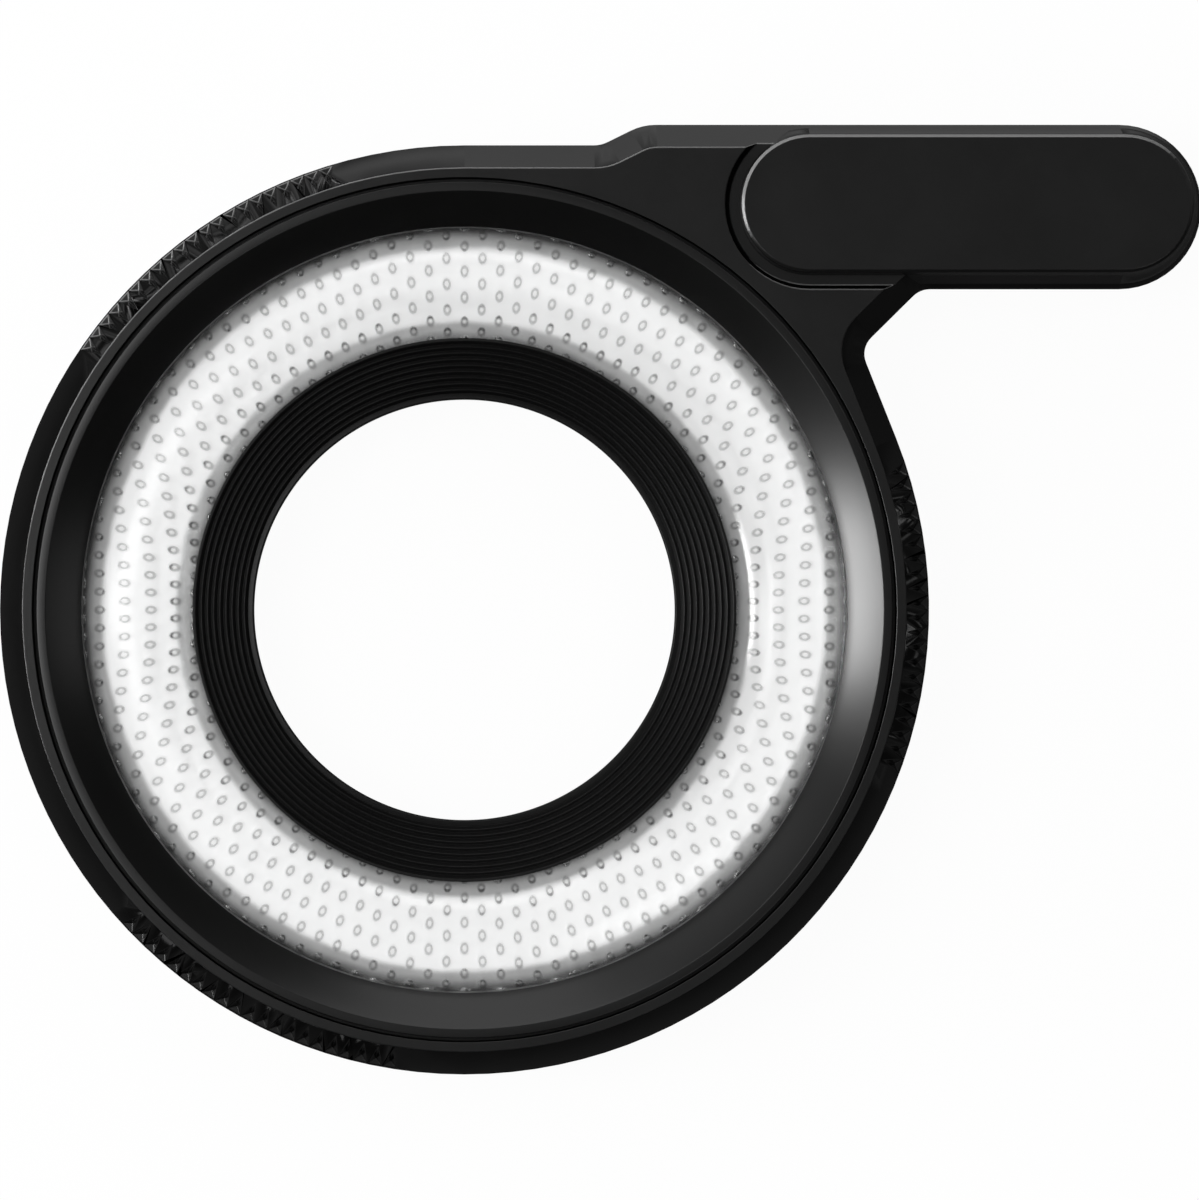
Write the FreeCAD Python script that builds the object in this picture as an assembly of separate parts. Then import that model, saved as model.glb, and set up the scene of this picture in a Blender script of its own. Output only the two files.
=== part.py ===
import FreeCAD
import Part

import math
import os

# LED light guide for a compact camera, in millimetres.
# A ring turns onto the bayonet of the lens collar. An arm covers the camera's LED lamp, and a clear
# pipe inside the arm carries its light to a clear ring round the lens.
# The origin lies on the ring's axis in the rear mounting face. +Z points to the subject,
# +X along the arm, +Y towards the arm's side of the ring.

# Clear ring: a half-round section with a thin flange on its outer side
guide_mean_r = 17.2        # radius of the circle through the middle of the section
guide_half = 3.1           # radius of the half-round section
guide_facets = 6           # bands that the half round is drawn with
flange_w = 0.35
flange_t = 0.6

# Stack along the axis, from the mounting face to the front
bayonet_t = 0.5            # the bayonet ring stands proud of the rear cover
cover_t = 0.9              # rear cover, up to the parting line of the body
socket_depth = 2.3         # room for the lens collar, from the mounting face
base_t = 0.8               # plate under the clear ring
sheet_t = 0.2              # white sheet under the clear ring
front_recess = 1.2         # top of the clear ring below the front face

# Cone ring outside the clear ring
cone_overhang = 0.16       # covers the edge of the clear ring
cone_clear = 1.65          # height of the cone's foot above the clear ring
cone_width = 1.81          # radial width of the cone
foot_wall = 1.4            # upright wall below the cone's foot
lip_w = 0.48
lip_t = 0.8
lip_drop = 0.1             # lip below the front face
skirt_clear = 0.12         # between the clear ring and the walls beside it

# Baffle ring inside the clear ring
baffle_w = 3.16            # radial width, from the lens hole to the outer edge
baffle_overhang = 0.22     # covers the inner edge of the clear ring
baffle_clear = 1.15        # height of its outer edge above the clear ring
baffle_rim_w = 0.30        # plain rim round the lens hole
baffle_drop = 1.7          # depth of the funnel
ridge_count = 9
ridge_rise = 0.30          # height of each ridge's steep side
spigot_w = 0.85            # wall of the spigot that centres the baffle in the base

# Front of the housing
front_gap = 0.2            # groove between the cone ring's lip and the housing
face_w = 0.51              # flat front face of the ring
chamfer_inset = 1.36
chamfer_drop = 2.6
wall_draft = 0.25          # how far the upright wall leans in, down to the parting line
shelf_w = 0.78             # shelf under the cone ring's lip

# Finger grips: V-grooves that run down the chamfer and deepen to a ledge above the plain rim
grip_centres = (-1.0, 126.2, 242.0)
grip_count = 21
grip_pitch = 1.87          # degrees
grip_start = 0.15          # where the grooves begin, from the face's edge
grip_depth = 0.36          # at the ledge, measured towards the axis
grip_land = 0.06           # crest between two grooves, at the ledge
grip_ledge = 0.2           # ledge above the chamfer's lower edge

# Arm
arm_half = 4.34            # half width of the arm's end
arm_rise = 1.08            # arm's upper edge beyond the ring's
cap_strip = 0.92           # from the groove round the cone ring to the arm's round end
cap_span = 16.42           # between the centres of the cap's round ends
ramp_x = 7.2               # foot of the ramp from ring to arm
ramp_angle = 26.3
ramp_top_round = 3.0
ramp_foot_round = 1.6
slant_run = 5.95           # from the cap's near centre to the slanted edge, along the arm's lower edge
slant_angle = 44.7
slant_round = 1.25
waist_angle = 21.7         # where the arm's lower edge leaves the ring, in degrees
waist_round = 1.2
arm_wall = 1.7

# Cap: it sits in a shallow recess of the face, and its skirt comes down over the arm's chamfer
recess_depth = 0.43        # below the front face
recess_flare = 0.12        # recess beyond the arm's round end, at the face
recess_draft = 0.24        # how far its side leans in, down to its floor
cap_rise = 0.8             # cap above the front face
cap_foot = 0.8             # skirt's foot above the chamfer's lower edge
cap_gap = 0.24             # skirt's foot inside the arm's outline
cap_lean = 0.39            # how far the skirt leans in, up to the recess's floor
cap_draft = 0.1            # how far the cap's side leans in above that
cap_clear = 0.05           # between skirt and chamfer
cap_bevel = 0.15
tape_t = 0.15
tape_margin = 0.2
roof_t = 0.87              # wall of the arm under the cap
ring_wall = 0.75           # wall between the arm's room and the cone ring
seat_clear = 0.1           # between rings that fit into one another

# Light pipe and lamp window
pipe_angle = 45.0          # direction from the ring's axis in which the pipe leaves the ring
pipe_half = 1.8            # half width under the cap
pipe_rise = 1.5            # top of the pipe above the rear face of the clear ring
pipe_flare = 0.6           # how much wider each side gets at the ring
pipe_bend_out = 4.0
pipe_bend_in = 1.5
pipe_clear = 0.1           # under the top of the passage
pipe_gap = 0.05            # between the pipe and the clear ring
pipe_land = 0.25           # flat left below the mirror end
passage_clear = 0.3        # round the pipe, through skirt and ring wall
tray_t = 0.15
tray_clear = 0.1
tray_start = 1.6           # from the bend, along the pipe
tray_end = 2.6             # from the lamp's axis
tray_side = 2.4            # height of the tray's sides
window_r = 2.1
window_t = 0.6
window_clear = 0.05
window_ledge = 0.35
gasket_w = 1.1
gasket_margin = 0.3

# Bayonet and socket
socket_wall = 1.1          # collar of the rear cover, between the socket and the housing
bayonet_margin = 0.4       # bayonet ring inside the body's outline
claw_count = 3
claw_angle = 30.0          # middle of the first claw, in degrees
claw_span = 28.0
claw_reach = 1.3
notch_w = 1.6              # notch for the camera's lock pin
notch_depth = 0.7
notch_angle = 180.0
spring_t = 0.15
spring_w = 1.3
spring_half = 3.5
spring_bow = 0.4
spring_margin = 0.4        # from the socket's wall
stop_r = 0.45
stop_depth = 0.6           # in the base
stop_length = 1.4          # out of the base
stop_margin = 0.7          # from the socket's wall to the pin's axis
stop_turn = 3.5            # beyond the claw's end, in degrees

# Screws
screw_r = 0.6
screw_fit = 0.03
screw_length = 3.6
head_r = 0.95
head_h = 0.4
head_sink = 0.03
pilot_spare = 0.3          # pilot hole beyond the screw's end
screw_wall = 0.3           # between a pilot hole and the ring's bore
boss_wall = 0.7
boss_roof = 0.4            # boss above its pilot hole
boss_gap = 0.3             # between a boss and the light pipe
bayonet_screw_angles = (62.0, 182.0, 302.0)
arm_screw_1_angle = 60.0
arm_screw_1_out = 1.2      # boss beyond the ring

# Heights
cover_z = bayonet_t
parting_z = cover_z + cover_t
base_z = socket_depth
sheet_z = base_z + base_t
guide_z = sheet_z + sheet_t
face_z = guide_z + guide_half + front_recess
lip_z = face_z - lip_drop
shelf_z = lip_z - lip_t
chamfer_z = face_z - chamfer_drop
ledge_z = chamfer_z + grip_ledge
recess_z = face_z - recess_depth
cap_z = face_z + cap_rise
cap_foot_z = chamfer_z + cap_foot
arm_roof_z = recess_z - roof_t
pipe_top_z = guide_z + pipe_rise
passage_top_z = pipe_top_z + pipe_clear
pipe_z = parting_z + tray_t

# Radii
guide_out_r = guide_mean_r + guide_half
guide_in_r = guide_mean_r - guide_half
flange_out_r = guide_out_r + flange_w
cone_foot_r = guide_out_r - cone_overhang
cone_rim_r = cone_foot_r + cone_width
lip_out_r = cone_rim_r + lip_w
skirt_in_r = guide_out_r + skirt_clear
front_hole_r = lip_out_r + front_gap
ring_r = front_hole_r + face_w + chamfer_inset
shelf_r = front_hole_r - shelf_w
base_r = shelf_r - seat_clear
socket_r = base_r - socket_wall
bayonet_r = ring_r - bayonet_margin
baffle_out_r = guide_in_r + baffle_overhang
baffle_wall_r = guide_in_r - skirt_clear
lens_hole_r = baffle_out_r - baffle_w
spigot_r = lens_hole_r + spigot_w
boss_r = screw_r + boss_wall
screw_circle_r = shelf_r + screw_wall + screw_r

# The arm's plan
arm_y = ring_r + arm_rise - arm_half
cap_near_x = math.sqrt((front_hole_r + cap_strip + arm_half) ** 2 - arm_y ** 2)
cap_far_x = cap_near_x + cap_span
slant_x = cap_near_x + slant_run

ORIGIN = FreeCAD.Vector(0, 0, 0)
UP = FreeCAD.Vector(0, 0, 1)
PAST = 1.0                 # how far a cutter runs past what it cuts


def polar(radius, degrees, z=0.0):
    """Point at an angle round the ring's axis."""
    angle = math.radians(degrees)
    return FreeCAD.Vector(radius * math.cos(angle), radius * math.sin(angle), z)


def spun(shape, degrees):
    """Copy of a shape, turned about the ring's axis."""
    copy = shape.copy()
    copy.rotate(ORIGIN, UP, degrees)
    return copy


def disc(radius, low, high, at=ORIGIN):
    """Upright cylinder between two heights."""
    return Part.makeCylinder(radius, high - low, FreeCAD.Vector(at.x, at.y, low))


def tube(inner, outer, low, high, at=ORIGIN):
    return disc(outer, low, high, at).cut(disc(inner, low - PAST, high + PAST, at))


def turned(profile):
    """Solid turned about the ring's axis from (radius, z) corners."""
    points = [FreeCAD.Vector(r, 0, z) for r, z in profile]
    return Part.Face(Part.makePolygon(points + points[:1])).revolve(ORIGIN, UP, 360)


def block(x, y, z):
    """Box between pairs of limits."""
    corner = FreeCAD.Vector(x[0], y[0], z[0])
    return Part.makeBox(x[1] - x[0], y[1] - y[0], z[1] - z[0], corner)


def meeting(p, p_degrees, q, q_degrees):
    """Where the line through p at one heading meets the line through q at another."""
    a = polar(1, p_degrees)
    b = polar(1, q_degrees)
    along = ((q.x - p.x) * b.y - (q.y - p.y) * b.x) / (a.x * b.y - a.y * b.x)
    return p + a * along


def rounded_loop(corners, inset=0.0, z=0.0):
    """Closed wire through (x, y, radius) corners, anticlockwise, drawn in by inset."""
    points = [FreeCAD.Vector(x, y, z) for x, y, _ in corners]
    bends = []
    for i, (_, _, radius) in enumerate(corners):
        coming = (points[i] - points[i - 1]).normalize()
        going = (points[(i + 1) % len(points)] - points[i]).normalize()
        inward = (UP.cross(coming) + UP.cross(going)).normalize()
        half_turn = coming.getAngle(going) / 2
        corner = points[i] + inward * (inset / math.cos(half_turn))
        convex = 1 if coming.cross(going).z > 0 else -1
        bend_r = radius - convex * inset if radius else 0
        reach = bend_r * math.tan(half_turn)
        middle = corner + inward * (convex * bend_r * (1 / math.cos(half_turn) - 1))
        bends.append((corner - coming * reach, middle, corner + going * reach, bend_r))
    edges = []
    for i, (start, middle, end, bend_r) in enumerate(bends):
        if bend_r:
            edges.append(Part.Arc(start, middle, end).toShape())
        following = bends[(i + 1) % len(bends)][0]
        if end.distanceToPoint(following) > 1e-5:
            edges.append(Part.LineSegment(end, following).toShape())
    return Part.Wire(edges)


def prism(wire, height):
    return Part.Face(wire).extrude(UP * height)


def body_corners():
    """Corners of the whole outline. Its three largest bends are the ring itself."""
    low_y = arm_y - arm_half
    high_y = arm_y + arm_half
    end_x = cap_far_x + arm_half
    under = FreeCAD.Vector(slant_x, low_y, 0)
    leaving = polar(ring_r, waist_angle)
    waist = meeting(under, slant_angle, leaving, waist_angle + 90)
    below = meeting(leaving, waist_angle + 90, FreeCAD.Vector(0, -ring_r, 0), 0)
    ramp_top_x = ramp_x + arm_rise / math.tan(math.radians(ramp_angle))
    return [
        (waist.x, waist.y, waist_round),
        (under.x, under.y, slant_round),
        (end_x, low_y, arm_half),
        (end_x, high_y, arm_half),
        (ramp_top_x, high_y, ramp_top_round),
        (ramp_x, ring_r, ramp_foot_round),
        (-ring_r, ring_r, ring_r),
        (-ring_r, -ring_r, ring_r),
        (below.x, below.y, ring_r),
    ]


def cap_loop(inset, z):
    """Outline of the cap's place, drawn in by inset."""
    left = cap_near_x - arm_half
    right = cap_far_x + arm_half
    low = arm_y - arm_half
    high = arm_y + arm_half
    corners = [(left, low), (right, low), (right, high), (left, high)]
    return rounded_loop([(x, y, arm_half) for x, y in corners], inset, z)


def pipe_bend():
    """Where the pipe turns from the ring's direction to the arm's."""
    return meeting(ORIGIN, pipe_angle, FreeCAD.Vector(0, arm_y, 0), 0)


def pipe_loop(z):
    """Outline of the light pipe, from the clear ring to the lamp window."""
    start_r = base_r + pipe_gap
    flare = math.degrees(math.atan2(pipe_flare, pipe_bend().Length - start_r))
    end_x = cap_far_x + pipe_half
    low_y = arm_y - pipe_half
    high_y = arm_y + pipe_half
    sideways = polar(pipe_half + pipe_flare, pipe_angle + 90)
    ring_low = polar(start_r, pipe_angle) - sideways
    ring_high = polar(start_r, pipe_angle) + sideways
    inner = meeting(ring_low, pipe_angle + flare, FreeCAD.Vector(0, low_y, 0), 0)
    outer = meeting(ring_high, pipe_angle - flare, FreeCAD.Vector(0, high_y, 0), 0)
    return rounded_loop([
        (ring_low.x, ring_low.y, 0),
        (inner.x, inner.y, pipe_bend_in),
        (end_x, low_y, pipe_half),
        (end_x, high_y, pipe_half),
        (outer.x, outer.y, pipe_bend_out),
        (ring_high.x, ring_high.y, 0),
    ], 0, z)


def guide_height(overhang):
    """Height of the half round at a given distance inside its edge."""
    return math.sqrt(guide_half ** 2 - (guide_half - overhang) ** 2)


def passage(width, low, high):
    """Straight way for the light, from the clear ring out through the housing's wall."""
    way = block((guide_mean_r, ring_r + PAST), (-width / 2, width / 2), (low, high))
    return spun(way, pipe_angle)


def light_guide_ring():
    flange_z = guide_z + flange_t
    profile = []
    for i in range(guide_facets):
        angle = math.pi * (1 - i / guide_facets)
        profile.append((guide_mean_r + guide_half * math.cos(angle), guide_z + guide_half * math.sin(angle)))
    profile.append((guide_mean_r + math.sqrt(guide_half ** 2 - flange_t ** 2), flange_z))
    profile.append((flange_out_r, flange_z))
    profile.append((flange_out_r, guide_z))
    width = pipe_half + pipe_flare
    stub = block((guide_mean_r, base_r), (-width, width), (guide_z, pipe_top_z))
    return turned(profile).fuse(spun(stub, pipe_angle)).removeSplitter()


def cone_ring():
    foot_z = guide_z + guide_height(cone_overhang) + cone_clear
    seat_z = guide_z + flange_t
    neck_r = shelf_r - seat_clear
    ring = turned([
        (skirt_in_r, seat_z),
        (cone_foot_r, foot_z - foot_wall),
        (cone_foot_r, foot_z),
        (cone_rim_r, lip_z),
        (lip_out_r, lip_z),
        (lip_out_r, shelf_z),
        (neck_r, shelf_z),
        (neck_r, seat_z),
    ])
    width = 2 * (pipe_half + pipe_flare + passage_clear)
    return ring.cut(passage(width, seat_z - PAST, passage_top_z))


def baffle_ring():
    """Funnel with a saw-tooth of ridges, steep on the side that faces the lens."""
    top_z = guide_z + guide_height(baffle_overhang) + baffle_clear
    low_z = top_z - baffle_drop
    first_r = lens_hole_r + baffle_rim_w
    pitch = (baffle_out_r - first_r) / ridge_count
    step_z = baffle_drop / ridge_count
    profile = [(lens_hole_r, base_z), (lens_hole_r, low_z)]
    for i in range(ridge_count):
        r = first_r + i * pitch
        peak_z = low_z + (i + 1) * step_z
        profile.append((r, peak_z - ridge_rise))
        profile.append((r + pitch / 2, peak_z))
    profile.append((baffle_out_r, top_z))
    profile.append((baffle_wall_r, sheet_z))
    profile.append((spigot_r, sheet_z))
    profile.append((spigot_r, base_z))
    return turned(profile)


def guide_base():
    plate = tube(spigot_r + screw_fit, base_r, base_z, sheet_z)
    return plate.cut(disc(stop_r + screw_fit, base_z - PAST, base_z + stop_depth, stop_place()))


def reflector_sheet():
    return tube(guide_in_r, flange_out_r, sheet_z, guide_z)


def light_pipe():
    pipe = prism(pipe_loop(pipe_z), pipe_top_z - pipe_z)
    start_r = base_r + pipe_gap
    bend_r = pipe_bend().Length
    half = pipe_half + pipe_flare + PAST
    rise = [(start_r, pipe_z - PAST), (bend_r, pipe_z - PAST), (bend_r, pipe_z), (start_r, guide_z)]
    points = [FreeCAD.Vector(r, -half, z) for r, z in rise]
    ramp = Part.Face(Part.makePolygon(points + points[:1])).extrude(FreeCAD.Vector(0, 2 * half, 0))
    tip_x = cap_far_x + pipe_half
    low_z = pipe_z + pipe_land
    reach = pipe_top_z - low_z + PAST
    mirror = [(tip_x + PAST, low_z - PAST), (tip_x + PAST, low_z + reach), (tip_x - reach, low_z + reach)]
    points = [FreeCAD.Vector(x, arm_y - half, z) for x, z in mirror]
    facet = Part.Face(Part.makePolygon(points + points[:1])).extrude(FreeCAD.Vector(0, 2 * half, 0))
    return pipe.cut([spun(ramp, pipe_angle), facet])


def pipe_reflector():
    x = (pipe_bend().x + tray_start, cap_far_x - tray_end)
    inner = pipe_half + tray_clear
    outer = inner + tray_t
    tray = block(x, (arm_y - outer, arm_y + outer), (parting_z, pipe_z + tray_side))
    room = block((x[0] - PAST, x[1] + PAST), (arm_y - inner, arm_y + inner), (pipe_z, face_z))
    return tray.cut(room)


def lamp_axis():
    """Foot of the axis of the camera's lamp."""
    return FreeCAD.Vector(cap_far_x, arm_y, 0)


def inlet_window():
    return disc(window_r, parting_z - window_t, parting_z, lamp_axis())


def inlet_gasket():
    inner = window_r + gasket_margin
    return tube(inner, inner + gasket_w, 0, cover_z, lamp_axis())


def screw(low):
    """Countersunk screw, head down at height low."""
    body = Part.makeCone(head_r, screw_r, head_h, FreeCAD.Vector(0, 0, low))
    return body.fuse(disc(screw_r, low + head_h, low + screw_length)).removeSplitter()


def screw_hole(low, high):
    """Countersunk hole for a screw whose head sits at height low."""
    head = Part.makeCone(head_r + screw_fit, screw_r + screw_fit, head_h, FreeCAD.Vector(0, 0, low))
    mouth = disc(head_r + screw_fit, low - PAST, low)
    return head.fuse([mouth, disc(screw_r + screw_fit, low, high)])


def placed(shape, points):
    """Copies of a shape at several points, as one group."""
    copies = []
    for point in points:
        copy = shape.copy()
        copy.translate(point)
        copies.append(copy)
    return Part.makeCompound(copies)


def bayonet_screw_points():
    return [polar(screw_circle_r, degrees) for degrees in bayonet_screw_angles]


def arm_screw_points():
    """One screw above the pipe, beside the ring, and one inside the pipe's bend."""
    above = polar(ring_r + arm_screw_1_out + boss_r, arm_screw_1_angle)
    half_turn = pipe_angle / 2
    rounding = 1 / math.cos(math.radians(half_turn))
    reach = pipe_half * rounding + pipe_bend_in * (rounding - 1) + boss_gap + boss_r
    return [above, pipe_bend() + polar(reach, half_turn - 90)]


def bayonet_screws():
    return placed(screw(head_sink), bayonet_screw_points())


def arm_screws():
    return placed(screw(cover_z + head_sink), arm_screw_points())


def sector(inner, outer, low, high, middle, span):
    """Part of a tube, span degrees wide."""
    piece = Part.makeCylinder(outer, high - low, FreeCAD.Vector(0, 0, low), UP, span)
    piece = piece.cut(disc(inner, low - PAST, high + PAST))
    return spun(piece, middle - span / 2)


def claw_middles():
    return [claw_angle + i * 360 / claw_count for i in range(claw_count)]


def bayonet_ring():
    """Ring on the rear face, with claws that reach into the socket."""
    ring = tube(socket_r, bayonet_r, 0, bayonet_t)
    claws = []
    for middle in claw_middles():
        claws.append(sector(socket_r - claw_reach, socket_r + socket_wall, 0, bayonet_t, middle, claw_span))
    ring = ring.fuse(claws).removeSplitter()
    notch = block((socket_r - PAST, socket_r + notch_depth), (-notch_w / 2, notch_w / 2), (-PAST, PAST))
    holes = placed(screw_hole(head_sink, parting_z), bayonet_screw_points())
    return ring.cut([spun(notch, notch_angle), holes])


def leaf_spring(degrees):
    """Thin strip, bowed towards the claw, with its ends on the base."""
    upper = base_z
    lower = base_z - spring_t
    ends = (-spring_half, spring_half)
    outline = [
        Part.Arc(
            FreeCAD.Vector(0, ends[0], upper),
            FreeCAD.Vector(0, 0, upper - spring_bow),
            FreeCAD.Vector(0, ends[1], upper),
        ).toShape(),
        Part.LineSegment(FreeCAD.Vector(0, ends[1], upper), FreeCAD.Vector(0, ends[1], lower)).toShape(),
        Part.Arc(
            FreeCAD.Vector(0, ends[1], lower),
            FreeCAD.Vector(0, 0, lower - spring_bow),
            FreeCAD.Vector(0, ends[0], lower),
        ).toShape(),
        Part.LineSegment(FreeCAD.Vector(0, ends[0], lower), FreeCAD.Vector(0, ends[0], upper)).toShape(),
    ]
    strip = Part.Face(Part.Wire(outline)).extrude(FreeCAD.Vector(spring_w, 0, 0))
    strip.translate(FreeCAD.Vector(socket_r - spring_margin - spring_w, 0, 0))
    return spun(strip, degrees)


def stop_place():
    return polar(socket_r - stop_margin, claw_angle + claw_span / 2 + stop_turn)


def stop_pin():
    return disc(stop_r, base_z - stop_length, base_z + stop_depth, stop_place())


def rear_cover():
    plate = prism(rounded_loop(body_corners(), wall_draft, cover_z), cover_t)
    cover = plate.fuse(disc(base_r, parting_z, base_z)).removeSplitter()
    lamp = lamp_axis()
    return cover.cut([
        disc(socket_r, -PAST, base_z + PAST),
        disc(window_r - window_ledge, -PAST, parting_z + PAST, lamp),
        disc(window_r + window_clear, parting_z - window_t, parting_z + PAST, lamp),
        placed(disc(screw_r + screw_fit, -PAST, parting_z + PAST), bayonet_screw_points()),
        placed(screw_hole(cover_z + head_sink, parting_z + PAST), arm_screw_points()),
    ])


def body_form(grow=0.0):
    """Outer form of the front: drafted wall and chamfer, made larger all round by grow."""
    corners = body_corners()
    return Part.makeLoft([
        rounded_loop(corners, wall_draft - grow, parting_z),
        rounded_loop(corners, -grow, chamfer_z),
        rounded_loop(corners, chamfer_inset - grow, face_z),
    ], True, True)


def chamfer_height(radius):
    """Height of the ring's chamfer at a radius."""
    return chamfer_z + chamfer_drop * (ring_r - radius) / chamfer_inset


def grip_grooves():
    """One V-groove cutter per groove. Its root leaves the chamfer beside the face and ends in the ledge."""
    crest_r = ring_r - chamfer_inset * grip_ledge / chamfer_drop
    root_r = crest_r - grip_depth
    start_r = ring_r - chamfer_inset + grip_start
    rise = FreeCAD.Vector(start_r - root_r, 0, chamfer_height(start_r) - ledge_z)
    half = crest_r * math.tan(math.radians(grip_pitch / 2)) - grip_land / 2
    reach = ring_r - root_r + PAST
    side = half * reach / grip_depth
    triangle = [(root_r, 0), (root_r + reach, -side), (root_r + reach, side)]
    points = [FreeCAD.Vector(x, y, ledge_z) for x, y in triangle]
    groove = Part.Face(Part.makePolygon(points + points[:1])).extrude(rise * 2)
    grooves = []
    for centre in grip_centres:
        for i in range(grip_count):
            grooves.append(spun(groove, centre + (i - (grip_count - 1) / 2) * grip_pitch))
    return grooves


def cap_recess():
    """Cutter for the cap's recess, whose side leans in down to its floor."""
    mouth = recess_flare + recess_draft
    return Part.makeLoft([
        cap_loop(recess_draft - recess_flare, recess_z),
        cap_loop(-mouth, face_z + recess_depth),
    ], True, True)


def front_housing():
    arm_room = prism(rounded_loop(body_corners(), arm_wall, parting_z - PAST), arm_roof_z - parting_z + PAST)
    arm_room = arm_room.cut(disc(front_hole_r + ring_wall, -PAST, face_z + PAST))
    housing = body_form().cut([
        disc(shelf_r, -PAST, face_z + PAST),
        disc(front_hole_r, shelf_z, face_z + PAST),
        arm_room,
        passage(2 * (pipe_half + pipe_flare + passage_clear), -PAST, passage_top_z),
        cap_recess(),
    ])
    pilot_z = cover_z + head_sink + screw_length + pilot_spare
    bosses = [disc(boss_r, parting_z, pilot_z + boss_roof, point) for point in arm_screw_points()]
    pilot = disc(screw_r + screw_fit, -PAST, pilot_z)
    pilots = placed(pilot, bayonet_screw_points() + arm_screw_points())
    return housing.fuse(bosses).cut([pilots] + grip_grooves()).removeSplitter()


def tape_inset():
    """Edge of the tape's recess, inside the top of the arm's chamfer."""
    return chamfer_inset + tape_margin


def arm_cap():
    """Drafted cap with a small bevel round its top, hollowed to sit over the arm's end."""
    waist = cap_gap + cap_lean
    shell = Part.makeLoft([
        cap_loop(cap_gap, cap_foot_z),
        cap_loop(waist, recess_z),
        cap_loop(waist + cap_draft, cap_z - cap_bevel),
        cap_loop(waist + cap_draft + cap_bevel, cap_z),
    ], True, True)
    above = prism(cap_loop(-PAST, recess_z), cap_z)
    arm_end = body_form(cap_clear).cut(above)
    return shell.cut([arm_end, prism(cap_loop(tape_inset(), recess_z - PAST), tape_t + PAST)])


def cap_tape():
    return prism(cap_loop(tape_inset() + tape_margin, recess_z), tape_t)


pieces = {
    "front_housing": front_housing(),
    "rear_cover": rear_cover(),
    "cone_ring": cone_ring(),
    "light_guide_ring": light_guide_ring(),
    "baffle_ring": baffle_ring(),
    "guide_base": guide_base(),
    "reflector_sheet": reflector_sheet(),
    "arm_cap": arm_cap(),
    "cap_tape": cap_tape(),
    "light_pipe": light_pipe(),
    "pipe_reflector": pipe_reflector(),
    "inlet_window": inlet_window(),
    "inlet_gasket": inlet_gasket(),
    "bayonet_ring": bayonet_ring(),
    "bayonet_screws": bayonet_screws(),
    "arm_screws": arm_screws(),
    "stop_pin": stop_pin(),
}
for number, degrees in enumerate(claw_middles(), start=1):
    pieces[f"leaf_spring_{number}"] = leaf_spring(degrees)

os.makedirs("parts", exist_ok=True)
for name, shape in pieces.items():
    shape.exportStep(f"parts/{name}.step")
    print(name, len(shape.Solids), "solid", round(shape.Volume, 2), "mm3", shape.isValid())
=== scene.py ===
import math

import bmesh
import bpy
from mathutils import Matrix, Vector
from mathutils.geometry import delaunay_2d_cdt


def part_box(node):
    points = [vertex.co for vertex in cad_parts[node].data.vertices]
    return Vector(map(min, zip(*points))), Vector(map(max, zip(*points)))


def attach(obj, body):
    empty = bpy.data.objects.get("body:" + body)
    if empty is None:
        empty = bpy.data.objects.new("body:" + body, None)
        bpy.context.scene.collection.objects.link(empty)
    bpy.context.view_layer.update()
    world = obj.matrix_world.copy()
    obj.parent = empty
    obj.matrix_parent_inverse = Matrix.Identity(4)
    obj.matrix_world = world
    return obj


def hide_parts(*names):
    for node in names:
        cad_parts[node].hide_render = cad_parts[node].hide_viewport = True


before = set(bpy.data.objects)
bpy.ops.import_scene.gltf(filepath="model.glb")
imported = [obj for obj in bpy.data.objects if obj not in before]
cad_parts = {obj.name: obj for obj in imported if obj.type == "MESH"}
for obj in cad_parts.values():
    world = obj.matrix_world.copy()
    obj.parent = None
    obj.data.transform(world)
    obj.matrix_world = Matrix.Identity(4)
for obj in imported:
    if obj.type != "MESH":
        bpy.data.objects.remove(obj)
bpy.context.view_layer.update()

# LED light guide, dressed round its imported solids. Lengths are in metres, and angles in degrees.
MM = 0.001
ring_slices = 288          # steps round a full circle
arc_steps = 5              # steps round a small edge
edge_room = 0.45           # share of a side that the rounding of its corner may take

# Heights and radii read from the solids
guide_low, guide_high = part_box("light_guide_ring")
cone_low, cone_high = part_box("cone_ring")
base_low, base_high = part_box("guide_base")
baffle_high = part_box("baffle_ring")[1]
sheet_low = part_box("reflector_sheet")[0]

# Clear ring
guide_half = 3.1 * MM      # radius of the half-round section
flange_w = 0.35 * MM
flange_t = 0.6 * MM
air_gap = 0.02 * MM        # between the polished rear face and the white sheet
flange_r = -guide_low.x
guide_out_r = flange_r - flange_w
guide_mean_r = guide_out_r - guide_half
guide_in_r = guide_mean_r - guide_half
guide_rear = guide_low.z + air_gap
dome_steps = 40

# Dimples in its rear face
dimple_r = 0.30 * MM
dimple_depth = 0.14 * MM
dimple_pitch_x = 0.933 * MM
dimple_pitch_y = 0.931 * MM
dimple_margin = 0.12 * MM
dimple_sides = 16
dimple_rings = 6
wall_low = 0.005 * MM      # the dimples' walls are tinted grey between these heights, as painted shade
wall_high = 0.115 * MM
wall_soft = 0.03 * MM
wall_painted_shade = 0.28
wall_polish = 0.1          # the walls are this much smoother than the rest
clear_tone = (0.985, 0.99, 0.99)
clear_rough = 0.2          # spreads the lamps' reflections
acrylic_ior = 1.49
passing_tone = 0.96        # share of the light that passes straight through the acrylic
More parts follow.
